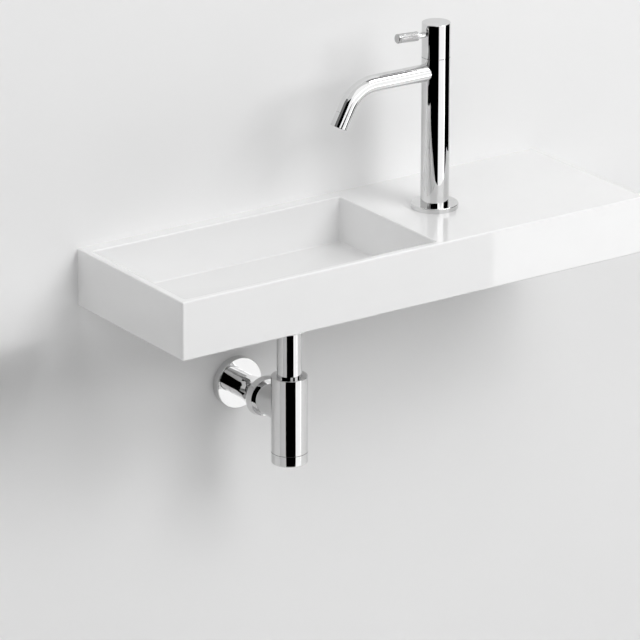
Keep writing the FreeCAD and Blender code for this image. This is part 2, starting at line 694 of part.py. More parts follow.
def make_cup():
    """Cleaning cup that screws into the foot of the bottle, with its flat seal."""
    base = (WASTE_X, WASTE_Y, TRAP_FOOT)
    skirt = BOTTLE_R - DIM.bottle_wall - DIM.slide_gap
    inner = skirt - DIM.bottle_wall
    seal_top = DIM.cup_height + DIM.cup_seal_thick
    top = seal_top + DIM.cup_skirt
    cup = turned("trap_cup", [
        (0, 0), (BOTTLE_R, 0), (BOTTLE_R, DIM.cup_height), (skirt, DIM.cup_height), (skirt, top),
        (inner, top), (inner, DIM.cup_floor), (0, DIM.cup_floor),
    ], base)
    round_edges(cup, DIM.bottle_round, rim_edge(BOTTLE_R, 0))
    ring("trap_cup_seal", skirt + DIM.fit_gap, BOTTLE_R - DIM.cup_seal_inset, DIM.cup_height, seal_top, base)


def make_outlet():
    """Outlet pipe with its bell nut, seal and wall plate, turned about the axis towards the wall."""
    base = (WASTE_X, WASTE_Y, TRAP_TOP - DIM.outlet_drop)
    towards_wall = dict(axis=VECTOR(1, 0, 0), angle=-QUARTER_TURN)
    pipe = PIPE_R
    clear = pipe + DIM.fit_gap
    nose_end = DIM.branch_reach + DIM.nose_length
    seal_end = nose_end + DIM.outlet_seal_thick
    nose = NOSE_R
    ring("outlet_seal", clear, nose, nose_end, seal_end, base, **towards_wall)
    bore = pipe - DIM.pipe_wall
    spigot = pipe - DIM.pipe_end_step
    start = nose_end - DIM.socket_depth
    step = WASTE_SETBACK + DIM.pipe_end_start
    end = WASTE_SETBACK + DIM.pipe_into_wall
    turned("wall_pipe", [
        (bore, start), (pipe, start), (pipe, step), (spigot, step), (spigot, end), (bore, end),
    ], base, **towards_wall)

    wide = nose + DIM.bell_wall
    narrow = clear + DIM.bell_lip
    ring_end = DIM.branch_reach + DIM.bell_ring
    rim = wide + DIM.bell_swell
    rim_at = ring_end + DIM.bell_shoulder
    bell_end = DIM.branch_reach + DIM.bell_length
    run = bell_end - rim_at
    fall = rim - narrow
    # The flank is an arc between rim and narrow end, known by its chord and its dip.
    half_chord_squared = (run * run + fall * fall) / 4
    flank = (half_chord_squared + DIM.bell_hollow * DIM.bell_hollow) / (DIM.bell_hollow * 2)
    turned("outlet_nut", [
        (nose + DIM.fit_gap, DIM.branch_reach), (wide, DIM.branch_reach), (wide, ring_end), (rim, rim_at),
        (narrow, bell_end), (clear, bell_end), (clear, seal_end), (nose + DIM.fit_gap, seal_end),
    ], base, arcs={3: -flank}, **towards_wall)

    plate = DIM.wall_flange_dia / 2
    front = WASTE_SETBACK - DIM.wall_flange_thick
    sheet = DIM.wall_flange_sheet
    cover = turned("wall_flange", [
        (clear, front), (plate, front), (plate, WASTE_SETBACK), (plate - sheet, WASTE_SETBACK),
        (plate - sheet, front + sheet), (clear, front + sheet),
    ], base, **towards_wall)
    round_edges(cover, sheet / 2, rim_edge(plate, front))


TAP_BASE = (TAP_X, TAP_Y, DECK_Z)
COLUMN_R = DIM.column_dia / 2
COLUMN_TOP = DIM.spout_height + DIM.column_over
CHAMBER_R = COLUMN_R - DIM.column_wall
CAP_INNER_R = COLUMN_R - DIM.cap_wall
CAP_LOW = COLUMN_TOP + DIM.column_seam
LEVER_Z = CAP_LOW + DIM.lever_rise
TAIL_R = DIM.tail_dia / 2
VALVE_SEAT = DIM.spout_height - DIM.valve_seat_drop
SPOUT_BORE = DIM.spout_dia - DIM.spout_wall * 2
SPIGOT_DIA = SPOUT_BORE + DIM.spigot_wall * 2
SPOUT_NOSE_R = SPOUT_BORE / 2 + DIM.aerator_nose_wall


def make_foot():
    """Foot plate, its seal, the threaded tail and the clamping stack below the deck."""
    clear = TAIL_R + DIM.fit_gap
    foot = DIM.foot_dia / 2
    groove_out = foot - DIM.foot_seal_inset
    groove_in = groove_out - DIM.foot_seal_width
    plate = turned("base_flange", [
        (clear, 0), (groove_in, 0), (groove_in, DIM.foot_seal_thick), (groove_out, DIM.foot_seal_thick),
        (groove_out, 0), (foot, 0), (foot, DIM.foot_thick), (clear, DIM.foot_thick),
    ], TAP_BASE)
    round_edges(plate, DIM.foot_round, rim_edge(foot, DIM.foot_thick))
    ring("base_seal", groove_in + DIM.fit_gap, groove_out - DIM.fit_gap, 0, DIM.foot_seal_thick, TAP_BASE)

    brim_low = -(DIM.deck_thick + DIM.top_hat_thick)
    crown = DIM.tap_hole_dia / 2 - DIM.fit_gap * 2
    turned("top_hat_washer", [
        (clear, brim_low), (DIM.top_hat_dia / 2, brim_low), (DIM.top_hat_dia / 2, -DIM.deck_thick),
        (crown, -DIM.deck_thick), (crown, DIM.top_hat_rise - DIM.deck_thick),
        (clear, DIM.top_hat_rise - DIM.deck_thick),
    ], TAP_BASE)
    washer_low = brim_low - DIM.clamp_washer_thick
    ring("clamp_washer", clear, DIM.clamp_washer_dia / 2, washer_low, brim_low, TAP_BASE)
    back_nut("tap_lock_nut", DIM.tap_nut_flats, clear, washer_low, DIM.tap_nut_thick, TAP_BASE)
    make_tail(washer_low - DIM.tap_nut_thick)


def make_tail(nut_low):
    """Threaded tail: clamp thread, relief groove below the lock nut, chamfered connector thread."""
    bore = DIM.tail_bore / 2
    relief = TAIL_R - DIM.tail_relief_depth
    connector_top = nut_low - DIM.tail_relief
    connector_low = connector_top - DIM.tail_connector
    end = connector_low - DIM.tail_relief_depth
    top = DIM.foot_thick + DIM.tail_socket
    turned("tap_tail", [
        (bore, end), (relief, end), (TAIL_R, connector_low), (TAIL_R, connector_top), (relief, connector_top),
        (relief, nut_low), (TAIL_R, nut_low), (TAIL_R, top), (bore, top),
    ], TAP_BASE)


def make_column():
    """Bored column: socket for the tail, waterway, valve chamber and the side hole of the spout."""
    low = DIM.foot_thick
    socket = TAIL_R + DIM.fit_gap
    way = DIM.column_bore / 2
    shelf = low + DIM.tail_socket
    body = turned("tap_column", [
        (socket, low), (COLUMN_R, low), (COLUMN_R, COLUMN_TOP), (CHAMBER_R, COLUMN_TOP),
        (CHAMBER_R, VALVE_SEAT), (way, VALVE_SEAT), (way, shelf), (socket, shelf),
    ], TAP_BASE)
    side = new_sketch(body, "YZ_Plane")
    draw_circle(side, (0, DIM.spout_height), SPIGOT_DIA + DIM.fit_gap * 2)
    pierce(body, side)


def spout_point(along):
    """Place of a point on the straight tip, this far below the end of the bend: (x, z) from the deck."""
    angle = DIM.spout_angle
    x = DIM.spout_straight + DIM.spout_bend * sine(angle) + cosine(angle) * along
    z = DIM.spout_height - DIM.spout_bend + DIM.spout_bend * cosine(angle) - sine(angle) * along
    return -x, z


def draw_axis(sketch, start, end):
    """A driven construction line to turn about."""
    number = sketch.addGeometry(Part.LineSegment(flat_point(start), flat_point(end)), True)
    pin_point(sketch, number, 1, start)
    pin_point(sketch, number, 2, end)


def spout_corner(along, radius):
    """Point beside the tip's axis, on its outer side: (x, z) from the deck."""
    x, z = spout_point(along)
    return x - sine(DIM.spout_angle) * radius, z + cosine(DIM.spout_angle) * radius


def draw_tip_band(sketch, start, end, inner, outer):
    """Half section of a ring on the tip of the spout, with the axis that it turns about."""
    draw_outline(sketch, [
        spout_corner(start, inner), spout_corner(start, outer), spout_corner(end, outer),
        spout_corner(end, inner),
    ])
    draw_axis(sketch, spout_point(start), spout_point(end))


def draw_spout_path(sketch):
    """Axis of the spout: out of the column, round the bend and down the straight tip."""
    bend_start = (-DIM.spout_straight, DIM.spout_height)
    bend_end = spout_point(0)
    tip = spout_point(DIM.spout_drop)
    start = (0, DIM.spout_height)
    sketch.addGeometry(Part.LineSegment(flat_point(start), flat_point(bend_start)), False)
    bend = arc_between(flat_point(bend_start), flat_point(bend_end), DIM.spout_bend.number)
    sketch.addGeometry(bend, False)
    sketch.addGeometry(Part.LineSegment(flat_point(bend_end), flat_point(tip)), False)
    sketch.addConstraint(Sketcher.Constraint("Coincident", 0, 2, 1, 1))
    sketch.addConstraint(Sketcher.Constraint("Coincident", 1, 2, 2, 1))
    pin_point(sketch, 0, 1, start)
    pin_point(sketch, 0, 2, bend_start)
    pin_point(sketch, 1, 2, bend_end)
    pin_point(sketch, 2, 2, tip)
    rule = Sketcher.Constraint("Radius", 1, DIM.spout_bend.number)
    bind(sketch, f"Constraints[{sketch.addConstraint(rule)}]", DIM.spout_bend)


def make_spout():
    """Bent spout: a swept tube, coped to the column, with a spigot at its root and a nose at its tip."""
    body = new_body("spout", TAP_BASE)
    path = new_sketch(body, "XZ_Plane")
    draw_spout_path(path)
    for kind, diameter in (("AdditivePipe", DIM.spout_dia), ("SubtractivePipe", SPOUT_BORE)):
        if kind == "SubtractivePipe":
            add_spout_ends(body)
        section = new_sketch(body, "YZ_Plane")
        draw_circle(section, (0, DIM.spout_height), diameter)
        sweep = body.newObject(f"PartDesign::{kind}", f"spout_{kind}")
        sweep.Profile = section
        sweep.Spine = path
        sweep.Transition = "Transformed"
    nose_bore = new_sketch(body, "XZ_Plane")
    over = DIM.aerator_nose_length + DIM.fit_gap
    draw_tip_band(nose_bore, DIM.spout_drop - DIM.fit_gap, DIM.spout_drop + over, 0, SPOUT_BORE / 2)
    spin(body, nose_bore, "Groove", "Axis0")


def add_spout_ends(body):
    """Cope the root to the column, then add the spigot and the threaded nose."""
    cope = new_sketch(body, "XY_Plane")
    draw_circle(cope, (0, 0), DIM.column_dia + DIM.fit_gap * 2)
    pocket = pierce(body, cope, away=True)
    pocket.Midplane = True
    spigot = new_sketch(body, "YZ_Plane", -(CHAMBER_R + DIM.fit_gap))
    draw_circle(spigot, (0, DIM.spout_height), SPIGOT_DIA)
    extrude(body, spigot, DIM.column_wall + SPIGOT_DIA / 2, away=True)
    nose = new_sketch(body, "XZ_Plane")
    start = DIM.spout_drop - DIM.fit_gap
    draw_tip_band(nose, start, DIM.spout_drop + DIM.aerator_nose_length, 0, SPOUT_NOSE_R)
    spin(body, nose, axis="Axis0")


def make_aerator():
    """Sleeve, insert and seal at the tip, turned about the tip's own axis."""
    x, z = spout_point(DIM.spout_drop)
    base = (TAP_X + x, TAP_Y, DECK_Z + z)
    down_tip = dict(axis=VECTOR(0, 1, 0), angle=-(DIM.spout_angle + QUARTER_TURN))
    outer = DIM.spout_dia / 2
    bore = SPOUT_NOSE_R + DIM.fit_gap
    mouth = SPOUT_NOSE_R - DIM.aerator_lip_reach
    shelf = DIM.aerator_length - DIM.aerator_lip
    sleeve = turned("aerator_housing", [
        (bore, 0), (outer, 0), (outer, DIM.aerator_length), (mouth, DIM.aerator_length), (mouth, shelf),
        (bore, shelf),
    ], base, **down_tip)
    round_edges(sleeve, DIM.aerator_lip / 2, rim_edge(outer, DIM.aerator_length))
    seal_end = DIM.aerator_nose_length + DIM.aerator_seal_thick
    fill = SPOUT_NOSE_R
    ring("aerator_seal", SPOUT_BORE / 2, fill, DIM.aerator_nose_length, seal_end, base, **down_tip)
    insert = turned("aerator_insert", [
        (0, seal_end), (fill, seal_end), (fill, shelf), (0, shelf),
    ], base, **down_tip)
    for radius, count in zip((DIM.aerator_jet_ring, DIM.aerator_jet_ring / 2), JET_RINGS):
        jet = new_sketch(insert, "XY_Plane", shelf)
        draw_circle(jet, (radius, 0), DIM.aerator_jet_dia)
        repeat_round(insert, pierce(insert, jet), count)


def make_valve():
    """Quarter-turn ceramic disc valve in the top of the column."""
    seal_top = VALVE_SEAT + DIM.head_seal_thick
    sleeve = DIM.head_sleeve_dia / 2
    inner = sleeve - DIM.head_sleeve_wall
    stem = DIM.spindle_dia / 2
    bush = stem + DIM.run_gap
    hex_low = COLUMN_TOP
    thread_low = hex_low - DIM.head_thread
    thread = CHAMBER_R - DIM.fit_gap
    ring("headpart_seal", DIM.column_bore / 2, sleeve, VALVE_SEAT, seal_top, TAP_BASE)
    head = turned("headpart_body", [
        (inner, seal_top), (sleeve, seal_top), (sleeve, thread_low), (thread, thread_low), (thread, hex_low),
        (bush, hex_low), (bush, thread_low), (inner, thread_low),
    ], TAP_BASE)
    crown = new_sketch(head, "XY_Plane", hex_low)
    draw_hexagon(crown, (CAP_INNER_R - DIM.head_hex_gap) * math.sqrt(3))
    draw_circle(crown, (0, 0), bush * 2)
    extrude(head, crown, DIM.head_hex_thick)
    window = new_sketch(head, "YZ_Plane")
    low = seal_top + DIM.disc_thick * 2 + DIM.run_gap
    draw_rectangle(window, -DIM.window_width / 2, low, DIM.window_width / 2, low + DIM.window_height)
    pierce(head, window).Midplane = True

    ported_disc("fixed_disc", inner - DIM.fit_gap, seal_top)
    upper_low = seal_top + DIM.disc_thick + DIM.run_gap
    upper = ported_disc("moving_disc", inner - DIM.slide_gap, upper_low)
    upper_top = upper_low + DIM.disc_thick
    slot = new_sketch(upper, "XY_Plane", upper_top)
    half = DIM.tongue_width / 2 + DIM.fit_gap
    draw_rectangle(slot, -inner, -half, inner, half)
    extrude(upper, slot, DIM.tongue_depth + DIM.fit_gap, "Pocket")
    make_spindle(stem, inner - DIM.spindle_collar_gap, upper_top, thread_low)


def ported_disc(label, radius, low):
    """Ceramic disc with two round ports."""
    top = low + DIM.disc_thick
    disc = turned(label, [(0, low), (radius, low), (radius, top), (0, top)], TAP_BASE)
    port = new_sketch(disc, "XY_Plane", top)
    draw_circle(port, (0, DIM.port_ring), DIM.disc_port)
    repeat_round(disc, pierce(disc, port), DISC_PORTS)
    return disc


def make_spindle(stem, collar, low, gland):
    """Valve stem: tongue in the moving disc, collar below the gland, plain top in the turning head."""
    collar_top = gland - DIM.slide_gap
    collar_low = collar_top - DIM.spindle_collar_thick
    top = LEVER_Z + DIM.spindle_over
    spindle = turned("spindle", [
        (0, low), (stem, low), (stem, collar_low), (collar, collar_low), (collar, collar_top),
        (stem, collar_top), (stem, top), (0, top),
    ], TAP_BASE)
    tongue = new_sketch(spindle, "XY_Plane", low)
    half = DIM.tongue_width / 2
    draw_rectangle(tongue, -stem, -half, stem, half)
    extrude(spindle, tongue, DIM.tongue_depth, away=True)


def lever_place(along):
    """Place on the lever axis, this far from the tap axis: (x, z) from the deck."""
    return -cosine(DIM.lever_tilt) * along, LEVER_Z + sine(DIM.lever_tilt) * along


def make_head():
    """Turning head with its lever."""
    top = LEVER_Z + DIM.cap_over
    hub = CAP_LOW + DIM.cap_hollow
    bore = DIM.spindle_dia / 2 + DIM.fit_gap
    bore_top = LEVER_Z + DIM.spindle_over + DIM.slide_gap
    cap = turned("handle_cap", [
        (CAP_INNER_R, CAP_LOW), (COLUMN_R, CAP_LOW), (COLUMN_R, top), (0, top), (0, bore_top),
        (bore, bore_top), (bore, hub), (CAP_INNER_R, hub),
    ], TAP_BASE)
    round_edges(cap, DIM.cap_round, rim_edge(COLUMN_R, top))
    stud = DIM.lever_stud_dia / 2
    hole = new_sketch(cap, "XZ_Plane")
    draw_lever_band(hole, bore, COLUMN_R + stud, stud + DIM.fit_gap)
    spin(cap, hole, "Groove", "Axis0")
    make_lever(stud, bore)


def draw_lever_band(sketch, start, end, radius):
    """Half section of a rod on the lever axis, with the axis that it turns about."""
    shift_x = sine(DIM.lever_tilt) * radius
    shift_z = cosine(DIM.lever_tilt) * radius
    near_x, near_z = lever_place(start)
    far_x, far_z = lever_place(end)
    draw_outline(sketch, [
        (near_x, near_z), (far_x, far_z), (far_x + shift_x, far_z + shift_z),
        (near_x + shift_x, near_z + shift_z),
    ])
    draw_axis(sketch, (near_x, near_z), (far_x, far_z))


def make_lever(stud, start):
    """Pin that clamps the head on the spindle, and the grip on its outer end."""
    base = (TAP_X, TAP_Y, DECK_Z + LEVER_Z)
    outwards = dict(axis=VECTOR(0, 1, 0), angle=DIM.lever_tilt - QUARTER_TURN)
    grip_start = COLUMN_R + DIM.lever_neck
    pin = DIM.lever_pin_dia / 2
    pin_end = grip_start + DIM.lever_pin_length
    tip = start + DIM.slide_gap
    turned("lever_stud", [
        (0, tip), (stud, tip), (stud, grip_start), (pin, grip_start), (pin, pin_end), (0, pin_end),
    ], base, **outwards)
    grip = DIM.grip_dia / 2
    grip_end = grip_start + DIM.grip_length
    sleeve = turned("lever_grip", [
        (pin + DIM.fit_gap, grip_start), (grip, grip_start), (grip, grip_end), (0, grip_end),
        (0, pin_end + DIM.slide_gap), (pin + DIM.fit_gap, pin_end + DIM.slide_gap),
    ], base, **outwards)
    ends = (rim_edge(grip, grip_start), rim_edge(grip, grip_end))
    round_edges(sleeve, DIM.grip_chamfer, lambda edge: any(end(edge) for end in ends), "Chamfer")


def check_pieces():
    """Stop where anything failed to build."""
    DOC.recompute()
    for thing in DOC.Objects:
        if {"Invalid", "Error"} & set(thing.State):
            raise RuntimeError(f"{thing.Label} failed: {thing.State}")
    for piece in PIECES:
        shape = piece.Shape
        if shape.isNull() or not shape.isValid() or not shape.Solids:
            raise RuntimeError(f"{piece.Label} has no sound solid")
        print(f"{piece.Label}: {len(shape.Solids)} solid, {shape.Volume:.1f} mm3, {len(shape.Faces)} faces")


def write_pieces():
    """Write each piece to its own file."""
    os.makedirs("parts", exist_ok=True)
    for piece in PIECES:
        piece.Shape.exportStep(f"parts/{piece.Label}.step")


make_basin()
make_waste()
make_trap()
make_outlet()
make_foot()
make_column()
make_spout()
make_aerator()
make_valve()
make_head()
check_pieces()
write_pieces()
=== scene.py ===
"""Looks of the slim wall-hung hand basin with its pillar tap and bottle trap.

The frame of the part is in metres: +X runs right along the wall, +Y into the wall, +Z up. Sizes of pieces
are written in millimetres and turned to metres where a mesh is made. The studio is written in metres.
"""
import logging
import math
from dataclasses import dataclass
from enum import Enum
from typing import ClassVar

import bmesh
import bpy
import numpy as np
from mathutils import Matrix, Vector


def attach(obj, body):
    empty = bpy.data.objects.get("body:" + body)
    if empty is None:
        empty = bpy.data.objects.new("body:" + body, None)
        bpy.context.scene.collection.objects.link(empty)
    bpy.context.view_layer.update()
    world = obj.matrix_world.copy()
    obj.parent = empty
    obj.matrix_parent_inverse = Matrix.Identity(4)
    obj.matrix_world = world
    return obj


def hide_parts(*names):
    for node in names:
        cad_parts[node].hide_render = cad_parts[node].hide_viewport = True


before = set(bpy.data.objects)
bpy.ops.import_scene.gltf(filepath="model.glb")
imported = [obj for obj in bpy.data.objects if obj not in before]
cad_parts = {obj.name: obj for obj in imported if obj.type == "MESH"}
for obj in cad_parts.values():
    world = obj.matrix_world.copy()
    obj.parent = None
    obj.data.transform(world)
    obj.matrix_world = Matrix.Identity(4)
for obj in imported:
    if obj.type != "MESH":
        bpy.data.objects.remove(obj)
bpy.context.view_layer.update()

LOG = logging.getLogger("hand_basin")
MM = 0.001
FULL_TURN = 2.0 * math.pi
RIGHT_ANGLE = 90.0
INTO_WALL = (0.0, 1.0, 0.0)
UPWARDS = (0.0, 0.0, 1.0)
HEX_BASE = 16
BYTE = 255.0
SRGB_KNEE = 0.04045
SRGB_SLOPE = 12.92
SRGB_OFFSET = 0.055
SRGB_POWER = 2.4
# Points of a mesh that are closer than this, in metres, are one.
WELD = 1e-7
# Edges that turn by more than this stay crisp in the shading.
SHARP_EDGE = math.radians(32.0)
# Millimetres from a corner to the extra row that keeps the stretch beside it flat in the shading.
SUPPORT = 0.15
# A stretch gets those rows where it is longer than this many of them.
SUPPORT_ROOM = 4.0
Place = tuple[float, float]
Point = tuple[float, float, float]


class Slot(Enum):
    """Material slots of the record."""

    GLAZE = "glaze"
    CHROME = "chrome_plate"
    BRASS = "bare_brass"
    RUBBER = "seal_rubber"
    PLASTIC = "washer_plastic"
    ZINC = "zinc_steel"
    DISC = "disc_ceramic"


class Body(Enum):
    """Bodies of the part that carry new pieces."""

    FIXTURE = "fixture"
    TAP_HEAD = "tap_head"


def linear(code: str) -> tuple[float, float, float, float]:
    """Turn an sRGB hex colour into linear light.

    Args:
        code: Colour as "#RRGGBB".

    Returns:
        Red, green and blue as linear values, with an alpha of 1.
    """
    shares = np.array([int(code[start:start + 2], HEX_BASE) / BYTE for start in (1, 3, 5)])
    curve = ((shares + SRGB_OFFSET) / (1.0 + SRGB_OFFSET)) ** SRGB_POWER
    return (*np.where(shares <= SRGB_KNEE, shares / SRGB_SLOPE, curve).tolist(), 1.0)


def per_mm(size: float) -> float:
    """Scale of a pattern on Object coordinates whose features are size millimetres wide."""
    return 1.0 / (size * MM)


def add_node(tree: bpy.types.NodeTree, kind: str, inputs: dict | None = None, **settings) -> bpy.types.Node:
    """Add a node with its settings and links.

    Args:
        tree: Node tree that gets the node.
        kind: Blender's name of the node type.
        inputs: Values, or output sockets to link from, by input name or number.
        settings: Properties of the node.

    Returns:
        The new node.
    """
    node = tree.nodes.new(kind)
    for name, value in settings.items():
        setattr(node, name, value)
    for name, value in (inputs or {}).items():
        if isinstance(value, bpy.types.NodeSocket):
            tree.links.new(value, node.inputs[name])
        else:
            node.inputs[name].default_value = value
    return node


@dataclass(frozen=True)
class Finish:
    """A surface finish: a Principled shader over fine noise that varies colour, roughness and relief."""

    name: str
    colour: str
    shade: str
    roughness: float
    roughness_spread: float
    mottle_mm: float
    grain_mm: float
    relief_mm: float
    metallic: float = 0.0
    ior: float = 1.5
    stretch: Point = (1.0, 1.0, 1.0)
    # Painted shade: a greyer colour inside a box, in millimetres, that fades out towards its sides.
    painted_bowl_shade: str = ""
    painted_bowl_shade_low: Point = (0.0, 0.0, 0.0)
    painted_bowl_shade_high: Point = (0.0, 0.0, 0.0)
    painted_bowl_shade_fade: float = 0.96
    mottle_detail: float = 3.0
    mottle_roughness: float = 0.55
    grain_detail: float = 2.0
    grain_roughness: float = 0.5

    def inside_painted_bowl_shade(self, tree: bpy.types.NodeTree, where: bpy.types.NodeSocket) -> bpy.types.NodeSocket:
        """Mark the bowl's painted shade: 1 inside its box, fading to 0 at its sides.

        A point's distance from the middle of the box is counted in half sizes of the box, and the largest of
        its three parts is 1 on the sides.

        Args:
            tree: Node tree that gets the nodes.
            where: Object coordinates.

        Returns:
            The output that carries the mark.
        """
        low, high = np.array(self.painted_bowl_shade_low) * MM, np.array(self.painted_bowl_shade_high) * MM
        offset = add_node(tree, "ShaderNodeVectorMath", {0: where, 1: tuple((low + high) / 2.0)},
                          operation="SUBTRACT")
        share = add_node(tree, "ShaderNodeVectorMath", {0: offset.outputs[0], 1: tuple((high - low) / 2.0)},
                         operation="DIVIDE")
        distance = add_node(tree, "ShaderNodeVectorMath", {0: share.outputs[0]}, operation="ABSOLUTE")
        parts = add_node(tree, "ShaderNodeSeparateXYZ", {0: distance.outputs[0]})
        most = parts.outputs[0]
        for other in parts.outputs[1:]:
            most = add_node(tree, "ShaderNodeMath", {0: most, 1: other}, operation="MAXIMUM").outputs[0]
        return add_node(tree, "ShaderNodeMapRange", {
            "Value": most, "From Min": 1.0, "From Max": self.painted_bowl_shade_fade}).outputs["Result"]

    def material(self) -> bpy.types.Material:
        """Build the material, or hand back the one already built.

        A broad noise blends the colour with its shade, and a fine noise sets the roughness within its spread
        and the height of the relief.

        Returns:
            The material.
        """
        found = bpy.data.materials.get(self.name)
        if found:
            return found
        made = bpy.data.materials.new(self.name)
        made.use_nodes = True
        tree = made.node_tree
        shader = tree.nodes["Principled BSDF"]
        place = add_node(tree, "ShaderNodeTexCoord").outputs["Object"]
        where = add_node(tree, "ShaderNodeMapping", {
            "Vector": place, "Scale": self.stretch}).outputs["Vector"]
        mottle = add_node(tree, "ShaderNodeTexNoise", {
            "Vector": where, "Scale": per_mm(self.mottle_mm), "Detail": self.mottle_detail,
            "Roughness": self.mottle_roughness}).outputs["Fac"]
        grain = add_node(tree, "ShaderNodeTexNoise", {
            "Vector": where, "Scale": per_mm(self.grain_mm), "Detail": self.grain_detail,
            "Roughness": self.grain_roughness}).outputs["Fac"]
        colour = add_node(tree, "ShaderNodeMix", {
            "Factor": mottle, "A": linear(self.colour), "B": linear(self.shade)},
            data_type="RGBA").outputs[2]
        # Painted shade: inside the bowl's box the colour turns greyer.
        if self.painted_bowl_shade:
            colour = add_node(tree, "ShaderNodeMix", {
                "Factor": self.inside_painted_bowl_shade(tree, place), "A": colour, "B": linear(self.painted_bowl_shade)},
                data_type="RGBA").outputs[2]
        tree.links.new(colour, shader.inputs["Base Color"])
        gloss = add_node(tree, "ShaderNodeMapRange", {
            "Value": grain, "To Min": max(self.roughness - self.roughness_spread, 0.0),
            "To Max": self.roughness + self.roughness_spread})
        tree.links.new(gloss.outputs["Result"], shader.inputs["Roughness"])
        bump = add_node(tree, "ShaderNodeBump", {
            "Height": grain, "Strength": 1.0, "Distance": self.relief_mm * MM})
        tree.links.new(bump.outputs["Normal"], shader.inputs["Normal"])
        shader.inputs["Metallic"].default_value = self.metallic
        if not self.metallic:
            shader.inputs["IOR"].default_value = self.ior
        return made


# Fired glaze on vitreous china: a deep wet white whose sheen rolls very slightly, as poured glaze does. In
# the bowl it is a shade greyer: painted shade over the bowl's inside.
GLAZE = Finish("vitreous_china_clear_glaze", colour="#F1F1F1", shade="#ECECEC", roughness=0.035,
               roughness_spread=0.015, mottle_mm=60.0, grain_mm=18.0, relief_mm=0.002, ior=1.52,
               painted_bowl_shade="#E8E8E8", painted_bowl_shade_low=(-278.0, -186.0, -29.5), painted_bowl_shade_high=(20.0, -11.0, 29.6))
# Polished nickel-chrome plate: a neutral mirror, with a faint haze from wiping.
CHROME = Finish("polished_chrome_plate", colour="#E2E2E2", shade="#D9D9D9", roughness=0.03,
                roughness_spread=0.012, mottle_mm=25.0, grain_mm=3.0, relief_mm=0.0002, metallic=1.0)
# Chrome over cut knurling, rougher than the polished plate. Its colour is darker than the plate's over the
# whole grip: painted shade of the grooves, so the grip reads as satin grey.
KNURL = Finish("satin_chrome_knurl", colour="#C8C8C8", shade="#B2B2B2", roughness=0.22,
               roughness_spread=0.05, mottle_mm=2.0, grain_mm=0.4, relief_mm=0.004, metallic=1.0)
# Turned brass left bare: warm yellow with fine tool marks.
BRASS = Finish("turned_brass", colour="#C9A55C", shade="#A98443", roughness=0.26, roughness_spread=0.08,
               mottle_mm=9.0, grain_mm=0.5, relief_mm=0.006, metallic=1.0, stretch=(0.15, 0.15, 1.0))
# Moulded nitrile rubber: matt black with a dusty bloom.
RUBBER = Finish("moulded_nitrile_rubber", colour="#1B1B1C", shade="#2A2A2B", roughness=0.62,
                roughness_spread=0.10, mottle_mm=6.0, grain_mm=0.6, relief_mm=0.010)
# Injection-moulded polythene: waxy off-white.
PLASTIC = Finish("moulded_polythene", colour="#E4E3DC", shade="#D9D8D0", roughness=0.42,
                 roughness_spread=0.08, mottle_mm=12.0, grain_mm=0.8, relief_mm=0.005)
# Zinc-plated steel: dull blue-grey with a fine crystalline sheen.
ZINC = Finish("zinc_plated_steel", colour="#B9BDC0", shade="#A3A8AC", roughness=0.33,
              roughness_spread=0.10, mottle_mm=4.0, grain_mm=0.7, relief_mm=0.004, metallic=1.0)
# Lapped alumina: dense white ceramic with a satin face.
DISC = Finish("lapped_alumina", colour="#F0EDE4", shade="#E4E0D5", roughness=0.18, roughness_spread=0.05,
              mottle_mm=3.0, grain_mm=0.4, relief_mm=0.001, ior=1.76)

FINISHES = {
    Slot.GLAZE: GLAZE, Slot.CHROME: CHROME, Slot.BRASS: BRASS, Slot.RUBBER: RUBBER, Slot.PLASTIC: PLASTIC,
    Slot.ZINC: ZINC, Slot.DISC: DISC,
}


@dataclass(frozen=True)
class Axis:
    """A line across the part, in millimetres, that doesn't run straight into the wall.

    Lengths run along it and angles turn about it.
    """

    start: Point
    along: Point

    def place(self, radius: np.ndarray, length: np.ndarray, angle: np.ndarray) -> np.ndarray:
        """Points about the axis.

        Each is start + length * along + radius * (cos(angle) * side + sin(angle) * across), where side and
        across are square to the axis and to each other.

        Args:
            radius: Distances from the axis.
            length: Distances along it.
            angle: Angles about it.

        Returns:
            Points in metres, one for each set of the three.
        """
        along = np.array(self.along) / np.linalg.norm(self.along)
        side = np.cross(along, INTO_WALL)
        side /= np.linalg.norm(side)
        across = np.cross(along, side)
        radius, length, angle = np.broadcast_arrays(radius, length, angle)
        turned = np.cos(angle)[..., None] * side + np.sin(angle)[..., None] * across
        return (np.array(self.start) + length[..., None] * along + radius[..., None] * turned) * MM


def round_angles(columns: int) -> np.ndarray:
    """Evenly spaced angles of a full turn, as one row."""
    return np.linspace(0.0, FULL_TURN, columns, endpoint=False)[None, :]


